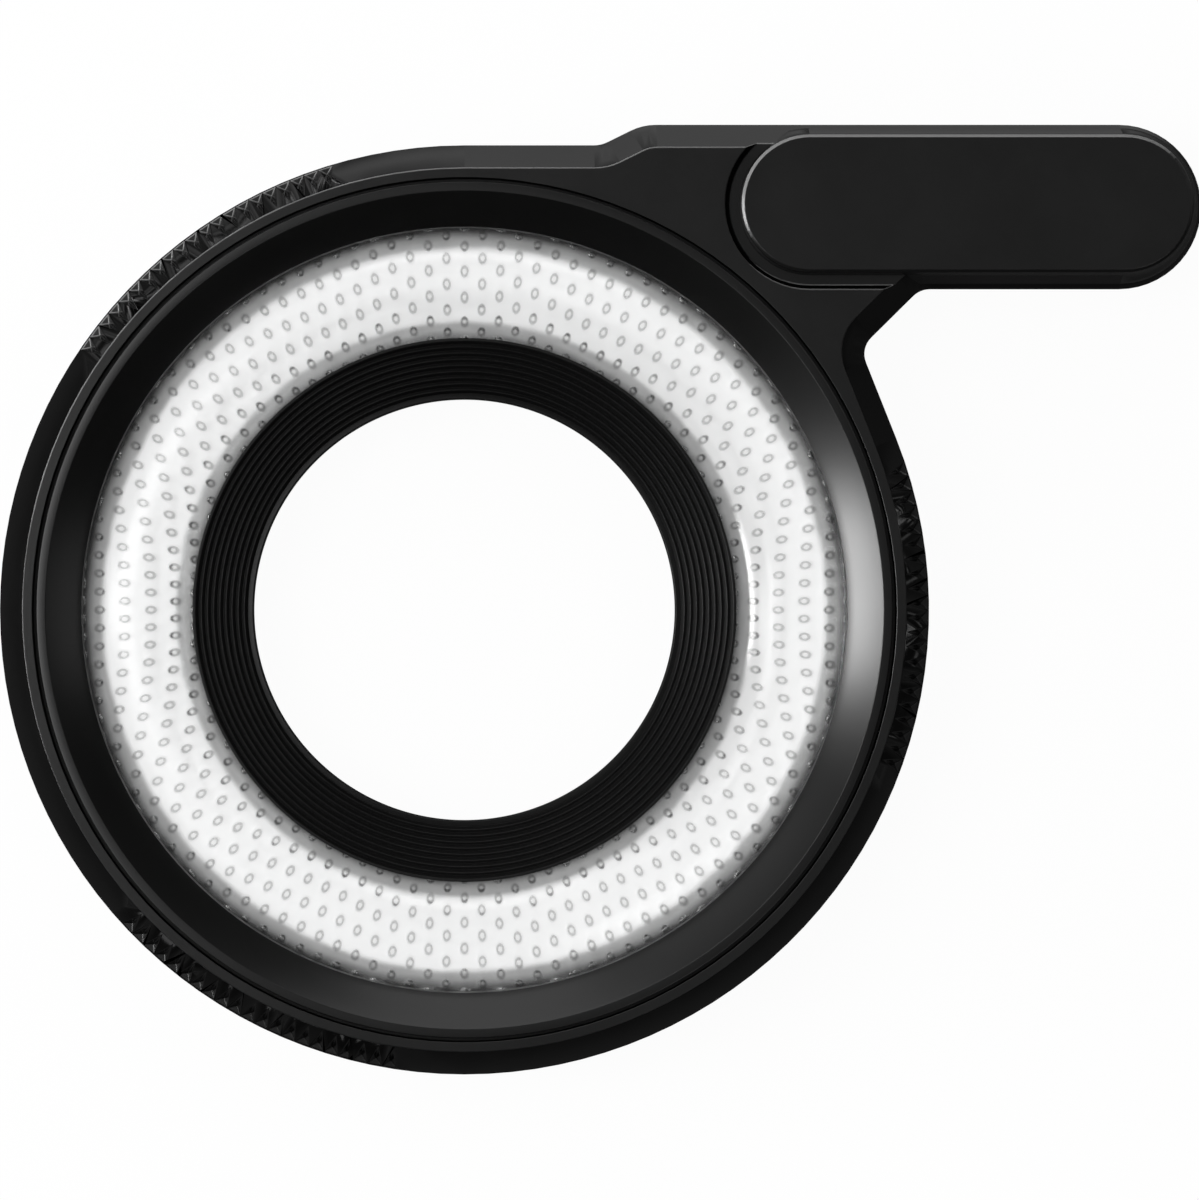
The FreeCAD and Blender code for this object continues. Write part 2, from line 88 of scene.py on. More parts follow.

# White sheet behind it, with painted shade: bright in its middle, then grey, and dark at the walls beside
# it
bright_half = 1.34 * MM    # half width of its bright band
grey_half = 1.55 * MM      # from here the painted grey shade beside it darkens
dark_half = 2.3 * MM       # and beyond this the sheet is painted dark as shade
dark_shift = 0.05 * MM
band_edge = 0.3 * MM
band_waver = 0.16          # millimetres that their edges waver by
grey_share = 0.36          # brightness of the grey bands of painted shade
dull_share = 0.22          # painted shade: what the bright band's inner side loses, but for the picture's lower part
dull_inner = -0.5 * MM
dull_outer = 0.3 * MM
dull_low = -16.0 * MM
dull_high = -4.0 * MM
streak_share = 0.22
# painted glow of the sheet, which is no lamp
sheet_painted_glow = 0.50

# Cone ring
lip_w = 0.48 * MM
lip_t = 0.8 * MM
lip_edge = 0.07 * MM
cone_w = 1.81 * MM
cone_drop = 1.567 * MM
foot_edge = 0.02 * MM
foot_wall = 1.4 * MM       # upright wall below the cone's foot
skirt_clear = 0.12 * MM
lip_r = cone_high.x
cone_rim_r = lip_r - lip_w
cone_foot_r = cone_rim_r - cone_w
skirt_r = guide_out_r + skirt_clear
neck_r = base_high.x

# Baffle ring
baffle_w = 3.16 * MM
baffle_rim_w = 0.30 * MM
baffle_rim_edge = 0.03 * MM
baffle_drop = 1.7 * MM
baffle_r = baffle_high.x
lens_r = baffle_r - baffle_w
throat_edge = 0.06 * MM
ridge_count = 9
ridge_rise = 0.30 * MM
ridge_edge = 0.035 * MM
groove_edge = 0.02 * MM
spigot_w = 0.85 * MM
spigot_edge = 0.05 * MM

# Screws, whose places and heights are read from their solids
screw_r = 0.6 * MM
head_r = 0.95 * MM
head_h = 0.4 * MM
head_edge = 0.06 * MM
cross_reach = 0.52 * MM    # cross recess, from the axis to an arm's end
cross_half = 0.13 * MM     # half width of its arms
cross_depth = 0.3 * MM
cross_taper = 0.55         # size of its floor as a share of its mouth
screw_sides = 48

# Solids that keep their shape, with their sharp edges rounded
weld_gap = 0.002 * MM      # points this near become one
flat_angle = 0.4           # faces that turn by less than this become one
sharp_angle = 25.0
housing_edge = 0.045 * MM
cap_edge = 0.09 * MM
cover_edge = 0.12 * MM
bayonet_edge = 0.06 * MM
base_edge = 0.08 * MM

# Moulded black. Tilt is the upward part of a face's normal: 1 where the face lies flat.
mould_specular = 0.45
steep_tilt = (0.60, 0.50)       # faces from sloping to steep, which are polished and painted darker as shade
steep_painted_shade = 0.7                # share of its tone that a steep face loses, as painted shade
steep_polish = 0.14             # roughness that it loses
highlight_tilt = (0.50, 0.60)        # edges from steep to sloping, which get a painted highlight
flat_tilt = (0.985, 0.93)       # and from flat to sloping
highlight_side = (-0.57, 0.82, 0.0)  # the painted highlights are on edges that face the picture's upper left
highlight_turn = (0.05, 0.25)        # from facing across that way to facing it
# tone of the highlight painted on the edges
highlight_tone = 0.24
highlight_start = lip_r + 0.3 * MM   # the edge beside the cone ring's lip gets no painted highlight
highlight_soft = 0.2 * MM
highlight_low = 2.0 * MM             # the picture's lower half gets no painted highlight
highlight_full = 7.0 * MM

# Photograph: taken from straight above the ring's axis
photo_w = 1199
photo_h = 1200
ring_px = (464.5, 609.9)   # the ring's axis
px_size = 0.05272 * MM     # size of a pixel at the outline's height
outline_z = 5.0 * MM
camera_up = 350.0 * MM     # camera above that height
camera_near = 10.0 * MM
sensor_w = 36.0            # in millimetres, like the lens

# Floor: white to the camera; in reflections a painted pool of light beyond the ring's upper side, and
# painted shade elsewhere
floor_z = -0.05 * MM
floor_reach = 2.5
floor_tone = 0.05
floor_glow = 0.96
shade_glow = 0.02
lit_side_glow = 0.42
shade_edge = 27.0 * MM
shade_end = 31.0 * MM

# Room and lamps
room_glow = 0.04
corner_reach = 0.55        # the four corner lamps, from the ring's axis
corner_up = 0.62
strip_reach = 0.6          # the low strips, which shine on the chamfers and edges
strip_up = 0.10


# Shader building
class Value:
    """A number that changes over a surface, for use in Python sums."""

    def __init__(self, finish, socket):
        self.finish = finish
        self.socket = socket

    def maths(self, operation, first, second):
        return self.finish.value("ShaderNodeMath", {"operation": operation}, {0: first, 1: second})

    def __add__(self, other):
        return self.maths("ADD", self, other)

    def __sub__(self, other):
        return self.maths("SUBTRACT", self, other)

    def __mul__(self, other):
        return self.maths("MULTIPLY", self, other)

    def __radd__(self, other):
        return self.maths("ADD", other, self)

    def __rsub__(self, other):
        return self.maths("SUBTRACT", other, self)

    def __rmul__(self, other):
        return self.maths("MULTIPLY", other, self)

    def __abs__(self):
        return self.maths("ABSOLUTE", self, 0.0)

    def larger(self, other):
        return self.maths("MAXIMUM", self, other)

    def turn_from(self, across):
        """Angle round the axis, in radians, of a place this far up and so far across."""
        return self.maths("ARCTAN2", self, across)


class Finish:
    """One surface finish, built node by node."""

    def __init__(self, name, world=None):
        self.block = world or bpy.data.materials.new(name)
        self.block.use_nodes = True
        self.tree = self.block.node_tree
        self.tree.nodes.clear()

    def node(self, kind, settings=None, inputs=None):
        """A node of a type, with its settings, then the values or links of its sockets."""
        node = self.tree.nodes.new(kind)
        for name, value in (settings or {}).items():
            setattr(node, name, value)
        for name, value in (inputs or {}).items():
            if isinstance(value, Value):
                self.tree.links.new(value.socket, node.inputs[name])
            elif isinstance(value, bpy.types.NodeSocket):
                self.tree.links.new(value, node.inputs[name])
            else:
                node.inputs[name].default_value = value
        return node

    def value(self, kind, settings=None, inputs=None, output=0):
        return Value(self, self.node(kind, settings, inputs).outputs[output])

    def place(self):
        """Object coordinates in millimetres."""
        metres = self.node("ShaderNodeTexCoord").outputs["Object"]
        scaled = self.node("ShaderNodeVectorMath", {"operation": "SCALE"}, {0: metres, "Scale": 1 / MM})
        return scaled.outputs[0]

    def along(self, axis):
        """One object coordinate in millimetres."""
        return self.value("ShaderNodeSeparateXYZ", None, {0: self.place()}, axis)

    def radius(self):
        """Distance from the ring's axis in millimetres."""
        flat = self.node("ShaderNodeVectorMath", {"operation": "MULTIPLY"}, {0: self.place(), 1: (1, 1, 0)})
        return self.value("ShaderNodeVectorMath", {"operation": "LENGTH"}, {0: flat.outputs[0]}, "Value")

    def noise(self, grain, detail=2.0, roughness=0.5):
        """Noise whose lumps are about grain millimetres wide."""
        return self.value("ShaderNodeTexNoise", None, {
            "Vector": self.place(), "Scale": 1 / grain, "Detail": detail, "Roughness": roughness,
        }, "Fac")

    def cells(self, width):
        """Round cells about this many millimetres wide, 0 at their middles."""
        return self.value("ShaderNodeTexVoronoi", {"feature": "F1"}, {
            "Vector": self.place(), "Scale": 1 / width,
        }, "Distance")

    def ripples(self, width, length):
        """Noise drawn out round the ring's axis: width and length of a streak in millimetres."""
        turn = self.along("Y").turn_from(self.along("X"))
        place = self.node("ShaderNodeCombineXYZ", None, {
            "X": self.radius() * (1 / width), "Y": turn * (guide_mean_r / MM / length),
        }).outputs[0]
        return self.value("ShaderNodeTexNoise", None, {"Vector": place, "Scale": 1.0, "Detail": 2.0}, "Fac")

    def ramp(self, value, start, end):
        """From 0 to 1, eased, while the value goes from start to end."""
        return self.value("ShaderNodeMapRange", {"interpolation_type": "SMOOTHSTEP"}, {
            "Value": value, "From Min": start, "From Max": end, "To Min": 0.0, "To Max": 1.0,
        })

    def over(self, distance, start, end):
        """A ramp over a distance in millimetres, between two places in metres."""
        return self.ramp(distance, start / MM, end / MM)

    def band(self, distance, half, edge):
        """1 while the distance lies within half of 0, and 0 outside."""
        return self.over(abs(distance), half + edge / 2, half - edge / 2)

    def ray(self, kind):
        """1 for rays of this kind, and 0 for others."""
        return self.value("ShaderNodeLightPath", None, None, kind)

    def tint(self, factor, dark, light):
        """Colour between two tones."""
        mix = self.node("ShaderNodeMix", {"data_type": "RGBA"}, {0: factor, 6: grey(dark), 7: grey(light)})
        return mix.outputs[2]

    def bump(self, height, depth):
        """Normal from a height of 0 to 1 that stands for depth metres."""
        bump = self.node("ShaderNodeBump", None, {"Height": height, "Distance": depth, "Strength": 1.0})
        return bump.outputs["Normal"]

    def principled(self, inputs):
        """The shader of a solid surface."""
        return self.node("ShaderNodeBsdfPrincipled", None, inputs).outputs[0]

    def glow(self, kind, strength):
        """White light of a strength, from an Emission or Background node."""
        return self.node(kind, None, {"Color": grey(1.0), "Strength": strength}).outputs[0]

    def see_through(self, tone=1.0):
        """Shader that light and rays pass straight through."""
        return self.node("ShaderNodeBsdfTransparent", None, {"Color": grey(tone)}).outputs[0]

    def mixed(self, factor, first, second):
        """The first shader where the factor is 0, and the second where it is 1."""
        return self.node("ShaderNodeMixShader", None, {0: factor, 1: first, 2: second}).outputs[0]

    def surface(self, shader):
        """The finished material or world."""
        is_world = isinstance(self.block, bpy.types.World)
        output = "ShaderNodeOutputWorld" if is_world else "ShaderNodeOutputMaterial"
        self.node(output, None, {"Surface": shader})
        return self.block


def grey(tone):
    """Colour from one tone, or from its three parts."""
    if isinstance(tone, tuple):
        return (*tone, 1)
    return (tone, tone, tone, 1)


def swing(noise, spread):
    """A change either way of 0, which spreads this far in all, from a noise of 0 to 1."""
    return (noise - 0.5) * spread


# Finishes
def painted_edge_highlights(finish, facing, tilt):
    """1 on the small sloping edges that face the picture's upper left, outside the cone ring: where a
    highlight is painted.
    """
    towards = finish.value("ShaderNodeVectorMath", {"operation": "DOT_PRODUCT"}, {
        0: facing, 1: highlight_side,
    }, "Value")
    sloping = finish.ramp(tilt, *highlight_tilt) * finish.ramp(tilt, *flat_tilt)
    outside = finish.over(finish.radius(), highlight_start, highlight_start + highlight_soft)
    upper = finish.over(finish.along("Y"), highlight_low, highlight_full)
    return sloping * finish.ramp(towards, *highlight_turn) * outside * upper


def moulded_black(name, tone, roughness, grain=0.16, relief=0.0035):
    """Black moulding: polished steep faces painted darker as shade, painted highlights on the edges facing
    the upper left, and a fine grain, sized in millimetres.
    """
    finish = Finish(name)
    grains = finish.noise(grain, roughness=0.6)
    patches = finish.noise(grain=3.5, detail=3.0, roughness=0.55)
    facing = finish.node("ShaderNodeNewGeometry").outputs["True Normal"]
    tilt = finish.value("ShaderNodeSeparateXYZ", None, {0: facing}, "Z")
    steep = finish.ramp(tilt, *steep_tilt)
    edge_highlight = painted_edge_highlights(finish, facing, tilt)
    return finish.surface(finish.principled({
        # steep faces painted darker as shade, and a highlight painted on the sloping edges
        "Base Color": tone * (1 + swing(patches, 0.4)) * (1 - steep_painted_shade * steep) + highlight_tone * edge_highlight,
        "Roughness": roughness - steep_polish * steep + swing(patches, 0.12) + swing(grains, 0.10),
        "Specular IOR Level": mould_specular,
        "Normal": finish.bump(grains, relief * MM),
    }))


def cone_black():
    """Smooth satin black of the cone and its lip."""
    finish = Finish("cone_black")
    patches = finish.noise(grain=5.0)
    specks = finish.noise(grain=0.09, detail=1.0)
    return finish.surface(finish.principled({
        "Base Color": finish.tint(patches, dark=0.0010, light=0.0016),
        "Roughness": 0.30 + swing(patches, 0.05),
        "Specular IOR Level": 0.6,
        "Normal": finish.bump(specks, 0.0006 * MM),
    }))


def clear_acrylic():
    """Polished clear acrylic, its dimples' walls tinted grey as painted shade. Lamps and bounced light pass
    straight through it.
    """
    finish = Finish("clear_acrylic")
    swirl = finish.noise(grain=7.0)
    height = finish.along("Z") - guide_rear / MM
    above = finish.over(height, wall_low, wall_low + wall_soft)
    below = finish.over(height, wall_high, wall_high - wall_soft)
    walls = above * below
    glass = finish.principled({
        # grey tint on the dimples' walls: painted shade
        "Base Color": finish.tint(walls, clear_tone, wall_painted_shade),
        "Roughness": clear_rough - wall_polish * walls,
        "IOR": acrylic_ior,
        "Transmission Weight": 1.0,
        "Normal": finish.bump(swirl, 0.02 * MM),
    })
    passing = finish.ray("Is Shadow Ray").larger(finish.ray("Is Diffuse Ray"))
    return finish.surface(finish.mixed(passing, glass, finish.see_through(passing_tone)))


def reflector_white():
    """Matt white film, painted darker towards its sides as shade, that glows a little as painted light
    though it is no lamp.
    """
    finish = Finish("reflector_white")
    fibres = finish.noise(grain=0.4, detail=3.0)
    streaks = finish.ripples(width=0.22, length=2.5)
    aside = finish.radius() - guide_mean_r / MM + swing(finish.noise(grain=1.6), band_waver)
    bright = finish.band(aside, bright_half, band_edge)
    painted_shade_band = finish.over(abs(aside + dark_shift / MM), dark_half, grey_half)
    dull_shade = finish.over(aside, dull_outer, dull_inner) * finish.over(finish.along("Y"), dull_low, dull_high)
    middle = grey_share + (1 - grey_share) * bright * (1 - dull_share * dull_shade)
    # the sheet's brightness, with the painted shade of its bands
    lit = painted_shade_band * (middle + swing(streaks, streak_share))
    return finish.surface(finish.principled({
        "Base Color": finish.tint(lit, dark=0.02, light=0.92),
        "Roughness": 0.75 + swing(fibres, 0.1),
        "Specular IOR Level": 0.2,
        # painted glow, in the pattern of the painted shade
        "Emission Color": finish.tint(lit, dark=0.01, light=1.0),
        "Emission Strength": sheet_painted_glow,
        "Normal": finish.bump(fibres, 0.004 * MM),
    }))


def baffle_black():
    """Dead matt black of the funnel and the plate behind the clear ring."""
    finish = Finish("baffle_black")
    grains = finish.noise(grain=0.12, roughness=0.6)
    return finish.surface(finish.principled({
        "Base Color": finish.tint(grains, dark=0.002, light=0.004),
        "Roughness": 0.42 + swing(grains, 0.15),
        "Specular IOR Level": 0.3,
        "Normal": finish.bump(grains, 0.003 * MM),
    }))


def foam_rubber():
    """Dull black foam with fine closed cells."""
    finish = Finish("foam_rubber")
    cells = finish.cells(0.22)
    return finish.surface(finish.principled({
        "Base Color": finish.tint(cells, dark=0.012, light=0.035),
        "Roughness": 0.85 + swing(cells, 0.1),
        "Specular IOR Level": 0.2,
        "Normal": finish.bump(cells, 0.03 * MM),
    }))


def steel(name, tone, roughness):
    """Steel with a fine uneven surface."""
    finish = Finish(name)
    marks = finish.noise(grain=0.12, detail=3.0, roughness=0.6)
    return finish.surface(finish.principled({
        "Base Color": finish.tint(marks, dark=0.85 * tone, light=1.1 * tone),
        "Metallic": 1.0,
        "Roughness": roughness + swing(marks, 0.2),
        "Normal": finish.bump(marks, 0.001 * MM),
    }))


def adhesive_film():
    """Dark matt film with a slight ripple."""
    finish = Finish("adhesive_film")
    ripple = finish.noise(grain=0.5)
    return finish.surface(finish.principled({
        "Base Color": finish.tint(ripple, dark=0.06, light=0.09),
        "Roughness": 0.6 + swing(ripple, 0.2),
    }))


finishes = {
    "housing_black": moulded_black("housing_black", tone=0.006, roughness=0.32),
    "cap_black": moulded_black("cap_black", tone=0.0055, roughness=0.32),
    "bayonet_black": moulded_black("bayonet_black", tone=0.012, roughness=0.28, grain=0.3, relief=0.001),
    "cone_black": cone_black(),
    "baffle_black": baffle_black(),
    "clear_acrylic": clear_acrylic(),
    "reflector_white": reflector_white(),
    "adhesive_film": adhesive_film(),
    "foam_rubber": foam_rubber(),
    "spring_steel": steel("spring_steel", tone=0.55, roughness=0.28),
    "screw_steel": steel("screw_steel", tone=0.10, roughness=0.35),
}


# Mesh building
def polar(radius, azimuth, z=0.0):
    """Place at a distance and an angle round the ring's axis."""
    angle = math.radians(azimuth)
    return Vector((radius * math.cos(angle), radius * math.sin(angle), z))


def rounded(corners):
    """Closed (x, y) profile from (x, y, rounding) corners."""
    points = []
    for i, (x, y, rounding) in enumerate(corners):
        here = Vector((x, y))
        if not rounding:
            points.append(here)
            continue
        back = Vector(corners[i - 1][:2]) - here
        on = Vector(corners[(i + 1) % len(corners)][:2]) - here
        half = back.angle(on) / 2
        reach = min(rounding / math.tan(half), edge_room * back.length, edge_room * on.length)
        radius = reach * math.tan(half)
        middle = here + (back.normalized() + on.normalized()).normalized() * (radius / math.sin(half))
        start = here + back.normalized() * reach - middle
        end = here + on.normalized() * reach - middle
        turn = start.angle_signed(end)
        for step in range(arc_steps + 1):
            points.append(middle + Matrix.Rotation(-turn * step / arc_steps, 2) @ start)
    return points


def solid_from(bm, name, sharp=32.0):
    """Object from a bmesh, smooth but for edges sharper than an angle."""
    bmesh.ops.recalc_face_normals(bm, faces=bm.faces)
    mesh = bpy.data.meshes.new(name)
    bm.to_mesh(mesh)
    bm.free()
    mesh.shade_smooth()
    mesh.set_sharp_from_angle(angle=math.radians(sharp))
    piece = bpy.data.objects.new(name, mesh)
    bpy.context.scene.collection.objects.link(piece)
    return piece


def circle(bm, radius, z, slices=ring_slices, centre=Vector((0, 0, 0))):
    """Points round an upright axis, at a height."""
    return [bm.verts.new(centre + polar(radius, 360 * i / slices, z)) for i in range(slices)]


def ring_faces(bm, rings, closed=False):
    """Quads between rings of points. A closed run joins its last ring to its first."""
    count = len(rings) if closed else len(rings) - 1
    for i in range(count):
        here = rings[i]
        following = rings[(i + 1) % len(rings)]
        for j in range(len(here)):
            k = (j + 1) % len(here)
            bm.faces.new((here[j], here[k], following[k], following[j]))


def flat_faces(bm, rim, holes):
    """Triangles inside a flat round rim, but for its holes."""
    verts = list(rim)
    hole_faces = []
    for hole in holes:
        hole_faces.append(list(range(len(verts), len(verts) + len(hole))))
        verts += hole
    rim_edges = [(i, (i + 1) % len(rim)) for i in range(len(rim))]
    points = [vert.co.xy for vert in verts]
    whole_rim = 0
    same_point = 1e-9
    result = delaunay_2d_cdt(points, rim_edges, hole_faces, whole_rim, same_point)
    sources = result[3]
    for face, in_holes in zip(result[2], result[5]):
        if not in_holes:
            bm.faces.new([verts[sources[i][0]] for i in face])


def turned(name, corners):
    """Solid turned about the ring's axis from (radius, z, rounding) corners."""
    bm = bmesh.new()
    ring_faces(bm, [circle(bm, r, z) for r, z in rounded(corners)], closed=True)
    return solid_from(bm, name)


# Pieces that stand for a solid
def cone_ring():
    """Conical ring with a narrow flat lip, and a neck that goes down into the housing."""
    top = cone_high.z
    foot = top - cone_drop
    return turned("cone_ring_finish", [
        (skirt_r, cone_low.z, 0),
        (cone_foot_r, foot - foot_wall, 0),
        (cone_foot_r, foot, foot_edge),
        (cone_rim_r, top, lip_edge),
        (lip_r, top, lip_edge),
        (lip_r, top - lip_t, 0),
        (neck_r, top - lip_t, 0),
        (neck_r, cone_low.z, 0),
    ])


def baffle_ring():
    """Funnel round the lens hole, with ridges that step up to its rim."""
    top = baffle_high.z
    low = top - baffle_drop
    first_r = lens_r + baffle_rim_w
    pitch = (baffle_r - first_r) / ridge_count
    step = baffle_drop / ridge_count
    corners = [(lens_r, base_low.z, spigot_edge), (lens_r, low, throat_edge)]
    for i in range(ridge_count):
        r = first_r + i * pitch
        peak = low + (i + 1) * step
        corners.append((r, peak - ridge_rise, groove_edge))
        corners.append((r + pitch / 2, peak, ridge_edge))
    corners.append((baffle_r, top, baffle_rim_edge))
    corners.append((guide_in_r - skirt_clear, sheet_low.z, 0))
    corners.append((lens_r + spigot_w, sheet_low.z, 0))
    corners.append((lens_r + spigot_w, base_low.z, spigot_edge))
    return turned("baffle_ring_finish", corners)


def dimple_places():
    """Staggered columns of dimples over the flat rear face."""
    places = []
    inner = guide_in_r + dimple_r + dimple_margin
    outer = guide_out_r - dimple_r - dimple_margin
    columns = math.ceil(outer / dimple_pitch_x)
    rows = math.ceil(outer / dimple_pitch_y) + 1
    for column in range(-columns, columns + 1):
        for row in range(-rows, rows + 1):
            y = (row + 0.5 * (column % 2)) * dimple_pitch_y
            place = Vector((column * dimple_pitch_x, y, 0))
            if inner < place.length < outer:
                places.append(place)
    return places


def dimple_height(share):
    """Height of a dimple's round dome at a share of its radius."""
    return guide_rear + dimple_depth * (1 + math.cos(math.pi * share)) / 2


def dimple(bm, centre, outline):
    """Dome that goes up into the clear ring from the dimple's outline."""
    rings = [outline]
    for ring in range(1, dimple_rings):
        share = 1 - ring / dimple_rings
        rings.append(circle(bm, dimple_r * share, dimple_height(share), dimple_sides, centre))
    ring_faces(bm, rings)
    tip = bm.verts.new(centre + Vector((0, 0, dimple_height(0))))
    last = rings[-1]
    for i in range(dimple_sides):
        bm.faces.new((last[i], last[(i + 1) % dimple_sides], tip))


def light_guide():
    """Half-round clear ring whose flat rear face is sown with dimples."""
    bm = bmesh.new()
    start = math.asin(flange_t / guide_half)
    rings = [circle(bm, flange_r, guide_rear), circle(bm, flange_r, guide_low.z + flange_t)]
    for i in range(dome_steps + 1):
        angle = start + (math.pi - start) * i / dome_steps
        r = guide_mean_r + guide_half * math.cos(angle)
        rings.append(circle(bm, r, guide_rear + guide_half * math.sin(angle)))
    ring_faces(bm, rings)

    centres = dimple_places()
    outlines = [circle(bm, dimple_r, guide_rear, dimple_sides, centre) for centre in centres]
    flat_faces(bm, rings[0], [rings[-1], *outlines])
    for centre, outline in zip(centres, outlines):
        dimple(bm, centre, outline)
    return solid_from(bm, "clear_ring", sharp=40.0)


def screw_places(node):
    """Axis, lower end and upper end of each screw in a solid."""
    bm = bmesh.new()
    bm.from_mesh(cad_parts[node].data)
    bmesh.ops.remove_doubles(bm, verts=bm.verts, dist=weld_gap)
    places = []
    waiting = set(bm.verts)
    while waiting:
        group = {waiting.pop()}
        front = set(group)
        while front:
            front = {edge.other_vert(vert) for vert in front for edge in vert.link_edges} & waiting
            waiting -= front
            group |= front
        spots = [vert.co for vert in group]
        low = Vector([min(spot[axis] for spot in spots) for axis in range(3)])
        high = Vector([max(spot[axis] for spot in spots) for axis in range(3)])
        places.append(((low.x + high.x) / 2, (low.y + high.y) / 2, low.z, high.z))
    bm.free()
    return sorted(places)


def cross_loop(bm, centre, z, scale):
    """Outline of the cross recess at a height."""
    points = []
    for quarter in range(4):
        turn = Matrix.Rotation(math.radians(90 * quarter), 3, "Z")
        for x, y in ((cross_half, cross_half), (cross_reach, cross_half), (cross_reach, -cross_half)):
            points.append(turn @ Vector((x * scale, y * scale, 0)))
    order = sorted(points, key=lambda point: math.atan2(point.y, point.x))
    return [bm.verts.new(centre + point + Vector((0, 0, z))) for point in order]


def screw(bm, centre, low, high):
    """Countersunk screw with a cross recess in its head, which faces the rear."""
    rings = [
        circle(bm, head_r - head_edge, low, screw_sides, centre),
        circle(bm, head_r, low + head_edge, screw_sides, centre),
        circle(bm, screw_r, low + head_h, screw_sides, centre),
        circle(bm, screw_r, high - head_edge, screw_sides, centre),
        circle(bm, screw_r - head_edge, high, screw_sides, centre),
    ]
    ring_faces(bm, rings)
    bm.faces.new(rings[-1])
    mouth = cross_loop(bm, centre, low, 1.0)
    floor = cross_loop(bm, centre, low + cross_depth, cross_taper)
    ring_faces(bm, [mouth, floor])
    bm.faces.new(floor)
    flat_faces(bm, rings[0], [mouth])


def screws(node):
    """All the screws of one solid."""
    bm = bmesh.new()
    for x, y, low, high in screw_places(node):
        screw(bm, Vector((x, y, 0)), low, high)
    return solid_from(bm, node + "_finish", sharp=30.0)


# Dressing
def coat(piece, slot):
    """One finish all over a piece."""
    piece.data.materials.clear()
    piece.data.materials.append(finishes[slot])
    return piece


def dress(piece, node, slot):
    """The piece stands for a solid and takes that solid's finish."""
    coat(piece, slot)
    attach(piece, "root")
    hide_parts(node)


def finished(node, slot):
    """Finish on a solid that keeps its shape."""
    return coat(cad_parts[node], slot)


def softened(node, slot, width, segments=2, clamp=True):
    """Finish on a solid that keeps its shape, with its sharp edges rounded.

    With clamp, a rounding narrows where edges lie close together.
    """
    piece = finished(node, slot)
    weld = piece.modifiers.new("weld", "WELD")
    weld.merge_threshold = weld_gap
    flat = piece.modifiers.new("flat", "DECIMATE")
    flat.decimate_type = "DISSOLVE"
    flat.angle_limit = math.radians(flat_angle)
    edge = piece.modifiers.new("edge", "BEVEL")
    edge.width = width
    edge.segments = segments
    edge.limit_method = "ANGLE"
    edge.angle_limit = math.radians(sharp_angle)
    edge.harden_normals = True
    edge.use_clamp_overlap = clamp


dress(cone_ring(), "cone_ring", "cone_black")
dress(baffle_ring(), "baffle_ring", "baffle_black")
dress(light_guide(), "light_guide_ring", "clear_acrylic")
dress(screws("bayonet_screws"), "bayonet_screws", "screw_steel")
dress(screws("arm_screws"), "arm_screws", "screw_steel")
softened("front_housing", "housing_black", housing_edge, clamp=False)
softened("arm_cap", "cap_black", cap_edge, segments=3)
softened("rear_cover", "housing_black", cover_edge)
softened("bayonet_ring", "bayonet_black", bayonet_edge)
softened("guide_base", "baffle_black", base_edge)
finished("reflector_sheet", "reflector_white")
finished("pipe_reflector", "reflector_white")
finished("light_pipe", "clear_acrylic")
finished("inlet_window", "clear_acrylic")
finished("inlet_gasket", "foam_rubber")
finished("cap_tape", "adhesive_film")
finished("stop_pin", "spring_steel")
for number in (1, 2, 3):
    finished(f"leaf_spring_{number}", "spring_steel")


# Studio
def floor_white():
    """White to the camera. In reflections on the black mouldings it is dim as painted shade, but for a
    painted pool of light beyond the ring's upper side. Shadow rays and the view from below pass it.
    """
    finish = Finish("floor_white")
    beyond = finish.over(finish.along("Y"), shade_edge, shade_end)
    # glow seen in reflections: painted shade near the ring, a painted pool of light beyond its upper side
    reflected_painted_light = shade_glow + (lit_side_glow - shade_glow) * beyond
    seen = finish.ray("Is Camera Ray") + finish.ray("Is Transmission Ray")
    seen = seen + reflected_painted_light * finish.ray("Is Glossy Ray")
    matt = finish.node("ShaderNodeBsdfDiffuse", None, {"Color": grey(floor_tone)}).outputs[0]
    glow = finish.glow("ShaderNodeEmission", floor_glow)
    lit = finish.node("ShaderNodeAddShader", None, {0: matt, 1: glow}).outputs[0]
    below = finish.value("ShaderNodeNewGeometry", None, None, "Backfacing")
    through = below.larger(finish.ray("Is Shadow Ray"))
    return finish.surface(finish.mixed(through, finish.mixed(seen, matt, lit), finish.see_through()))


def studio_floor():
    """Wide floor just below the mounting face."""
    bm = bmesh.new()
    for x, y in ((-1, -1), (1, -1), (1, 1), (-1, 1)):
        bm.verts.new((x * floor_reach, y * floor_reach, floor_z))
    bm.faces.new(bm.verts)
    floor = solid_from(bm, "floor")
    floor.data.materials.append(floor_white())


def studio_world():
    """Dim light from all round, and white to the camera."""
    world = bpy.data.worlds.new("studio")
    bpy.context.scene.world = world
    finish = Finish("studio", world)
    room = finish.glow("ShaderNodeBackground", room_glow)
    white = finish.glow("ShaderNodeBackground", 1.0)
    finish.surface(finish.mixed(finish.ray("Is Camera Ray"), room, white))


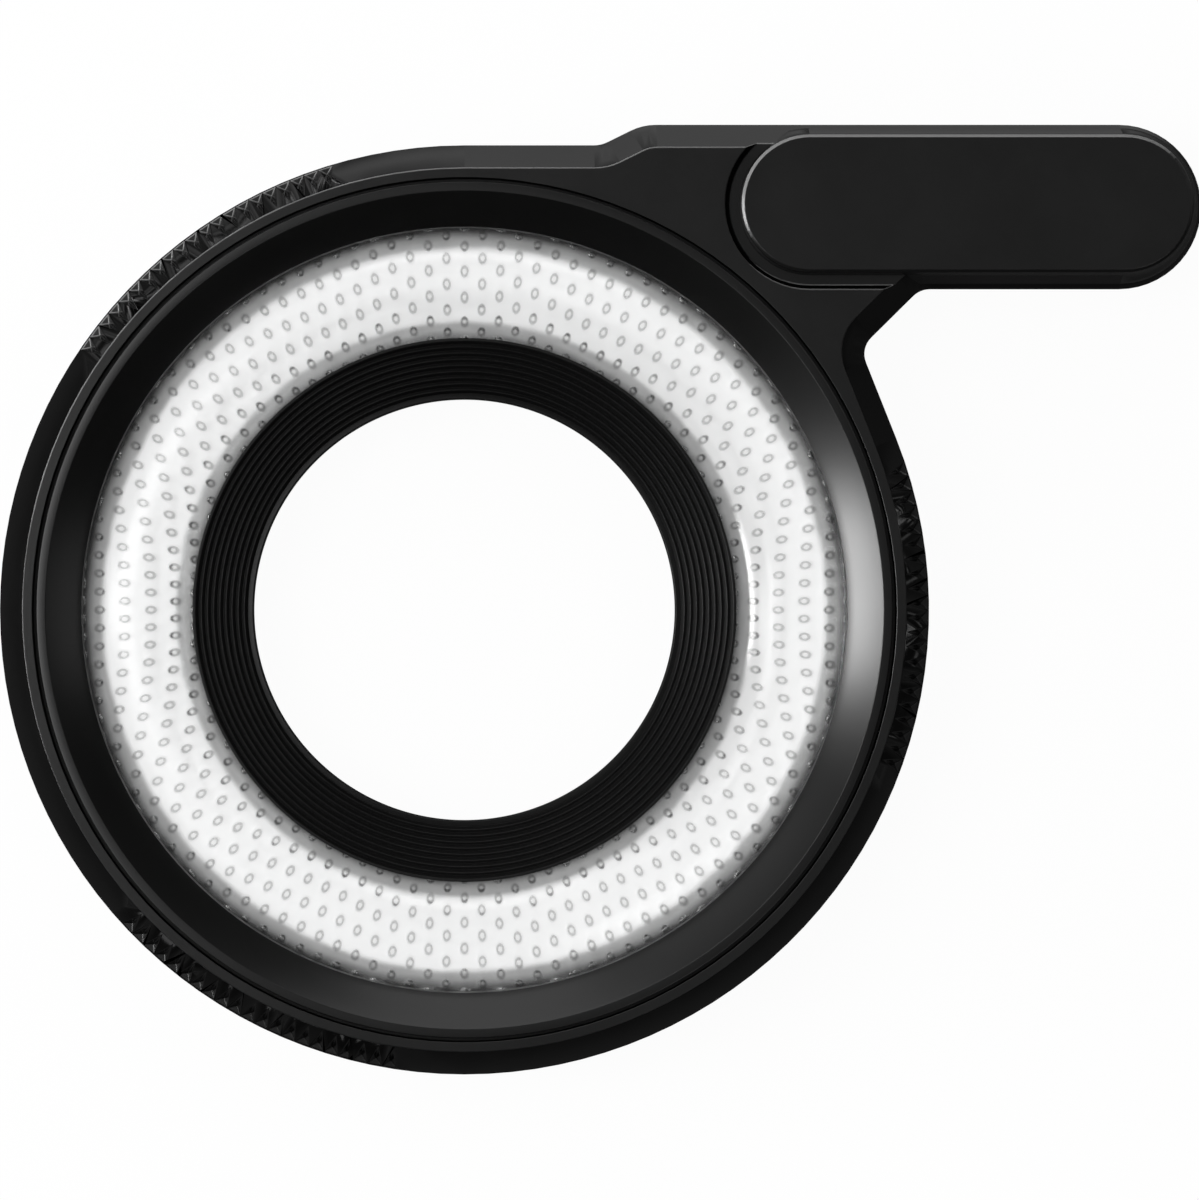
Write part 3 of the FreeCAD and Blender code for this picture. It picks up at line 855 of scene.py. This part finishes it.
def softbox(name, place, size, radiance, through_clear=True):
    """Rectangular soft light, aimed at the ring, with its brightness given as radiance."""
    aim = Vector((0, 0, guide_high.z))
    lamp = bpy.data.lights.new(name, "AREA")
    lamp.shape = "RECTANGLE"
    lamp.size, lamp.size_y = size
    lamp.energy = radiance * size[0] * size[1] * math.pi
    box = bpy.data.objects.new(name, lamp)
    box.location = place
    box.rotation_euler = (aim - Vector(place)).to_track_quat("-Z", "Y").to_euler()
    box.visible_camera = False
    box.visible_transmission = through_clear
    bpy.context.scene.collection.objects.link(box)


def strip(name, azimuth, size, radiance, through_clear=True):
    """Low soft light beside the ring."""
    softbox(name, polar(strip_reach, azimuth, strip_up), size, radiance, through_clear)


def camera():
    """Camera straight above the ring's axis, shifted to the photograph's framing."""
    lens = bpy.data.cameras.new("camera")
    lens.sensor_fit = "HORIZONTAL"
    lens.sensor_width = sensor_w
    lens.lens = sensor_w * camera_up / (photo_w * px_size)
    lens.shift_x = (photo_w / 2 - ring_px[0]) / photo_w
    lens.shift_y = (ring_px[1] - photo_h / 2) / photo_w
    lens.clip_start = camera_near
    eye = bpy.data.objects.new("camera", lens)
    eye.location = (0, 0, outline_z + camera_up)
    bpy.context.scene.collection.objects.link(eye)
    bpy.context.scene.camera = eye


studio_floor()
studio_world()
softbox("overhead", place=(0, 0, 0.8), size=(0.5, 0.5), radiance=0.17)
softbox("near_left", place=(-0.105, 0.02, 0.22), size=(0.11, 0.11), radiance=3.0)
for number, azimuth in enumerate((35, 125, 215, 305)):
    softbox(f"ring_{number}", polar(corner_reach, azimuth, corner_up), size=(0.35, 0.35), radiance=1.3)
softbox("left_panel", place=(-0.43, 0.01, 0.42), size=(0.09, 0.34), radiance=5.0)
softbox("top_panel", place=(0, 0.52, 0.30), size=(0.50, 0.16), radiance=2.5)
strip("left_strip", azimuth=183.5, size=(0.28, 0.14), radiance=20.5, through_clear=False)
strip("top_strip", azimuth=92, size=(0.40, 0.12), radiance=1.5)
strip("upper_left_strip", azimuth=133, size=(0.40, 0.12), radiance=0.9)
strip("right_strip", azimuth=0, size=(0.22, 0.12), radiance=0.75)
softbox("under", place=(0.02, 0.03, -0.7), size=(0.5, 0.5), radiance=1.2)
camera()

bpy.context.scene.view_settings.view_transform = "Standard"
